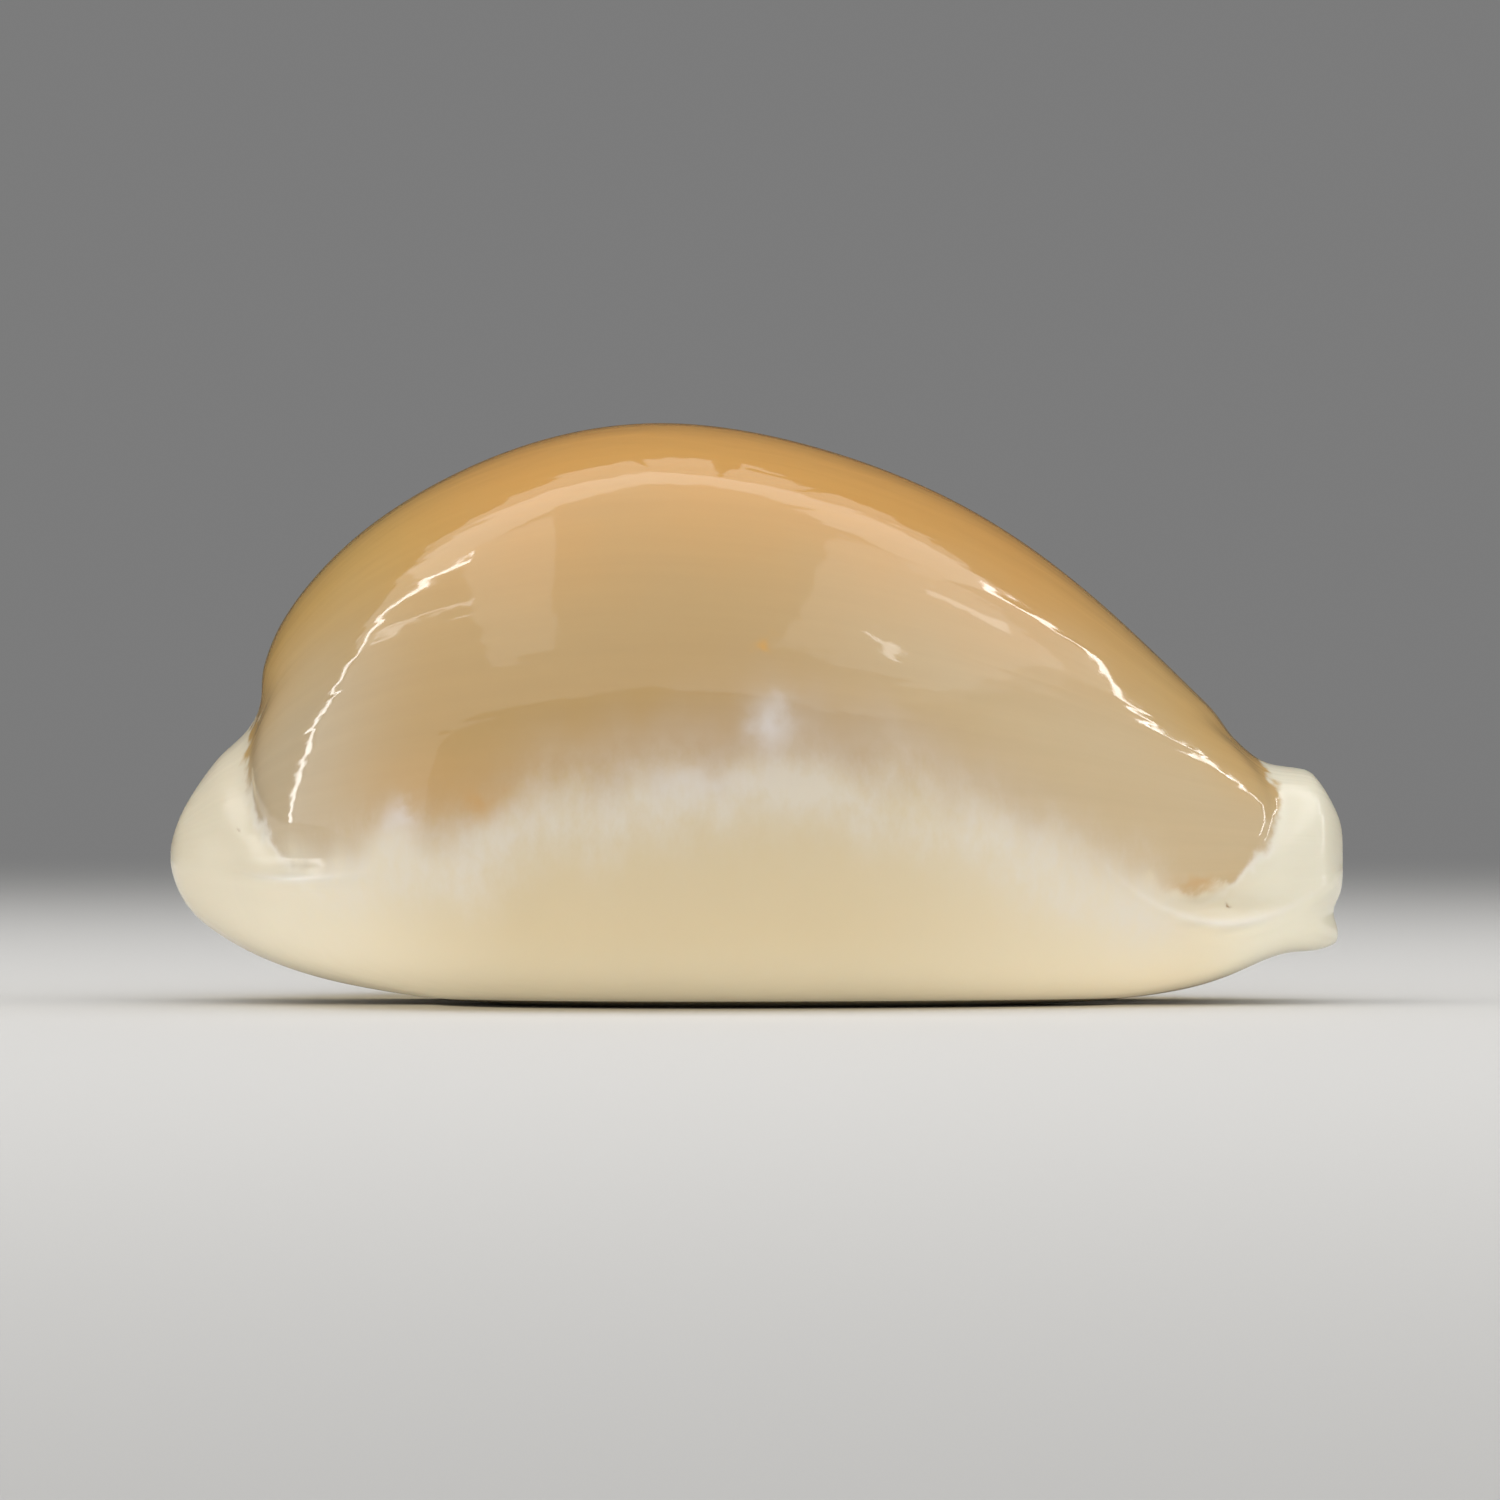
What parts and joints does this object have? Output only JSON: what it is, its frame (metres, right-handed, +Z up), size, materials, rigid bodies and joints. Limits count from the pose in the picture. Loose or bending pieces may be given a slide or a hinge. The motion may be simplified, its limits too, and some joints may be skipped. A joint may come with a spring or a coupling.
{
  "type": "camel cowrie shell",
  "caption": "Smooth domed cowrie seashell with a callused margin, a long narrow toothed slit along its base and a notched lobe at each end.",
  "frame": {"origin": "centre of the shell's bounding box in plan, on the plane that the base rests on", "axes": "+X towards the narrow front (anterior) end, +Z up through the domed back, -Y towards the outer lip, +Y towards the columella side"},
  "size_m": [0.07, 0.045, 0.0347],
  "materials": {
    "shell": "porcelain gloss, tan back, cream margin and base"
  },
  "bodies": {
    "root": {"shell": "shell"}
  },
  "joints": []
}
